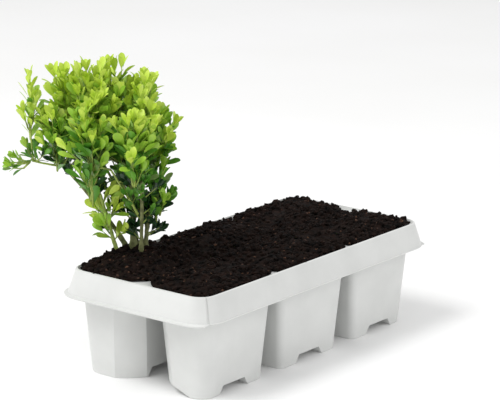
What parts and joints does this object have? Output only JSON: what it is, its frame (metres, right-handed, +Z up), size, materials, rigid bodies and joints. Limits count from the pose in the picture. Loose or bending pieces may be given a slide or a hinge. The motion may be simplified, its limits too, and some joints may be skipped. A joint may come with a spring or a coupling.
{
  "type": "potted japanese holly",
  "caption": "Young Japanese holly shrub with several stems, rooted in one cell of a white moulded nursery tray filled with potting soil.",
  "frame": {"origin": "bottom centre of the whole object's box, on the surface it stands on", "axes": "+Z up, +X along the tray's long side, the planted cell towards -X and +Y"},
  "size_m": [0.2959, 0.1879, 0.2254],
  "materials": {
    "tray_plastic": "satin",
    "potting_soil": "matte",
    "bark": "matte",
    "leaves": "satin"
  },
  "bodies": {
    "root": {"tray_rim": "tray_plastic", "tray_cell_1": "tray_plastic", "tray_cell_2": "tray_plastic", "tray_cell_3": "tray_plastic", "tray_cell_4": "tray_plastic", "tray_cell_5": "tray_plastic", "tray_cell_6": "tray_plastic", "soil_1": "potting_soil", "soil_2": "potting_soil", "soil_3": "potting_soil", "soil_4": "potting_soil", "soil_5": "potting_soil", "soil_6": "potting_soil", "stem_main": "bark", "stem_young": "bark", "stem_arching": "bark", "stem_right": "bark", "stem_back": "bark", "stem_front": "bark", "bough_left_tip": "bark", "bough_centre_left": "bark", "bough_left": "bark", "bough_right_top": "bark", "bough_right_low": "bark", "bough_front_left": "bark", "bough_back_right": "bark", "foliage_left_sprig": "leaves", "foliage_left_tip": "leaves", "foliage_left_shoulder": "leaves", "foliage_left_top": "leaves", "foliage_centre_left": "leaves", "foliage_top": "leaves", "foliage_right_top": "leaves", "foliage_right_shoulder": "leaves", "foliage_front_left": "leaves", "foliage_front": "leaves", "foliage_back_left": "leaves", "foliage_back": "leaves", "foliage_inside": "leaves", "foliage_right_low": "leaves", "foliage_young_shoot": "leaves"}
  },
  "joints": []
}
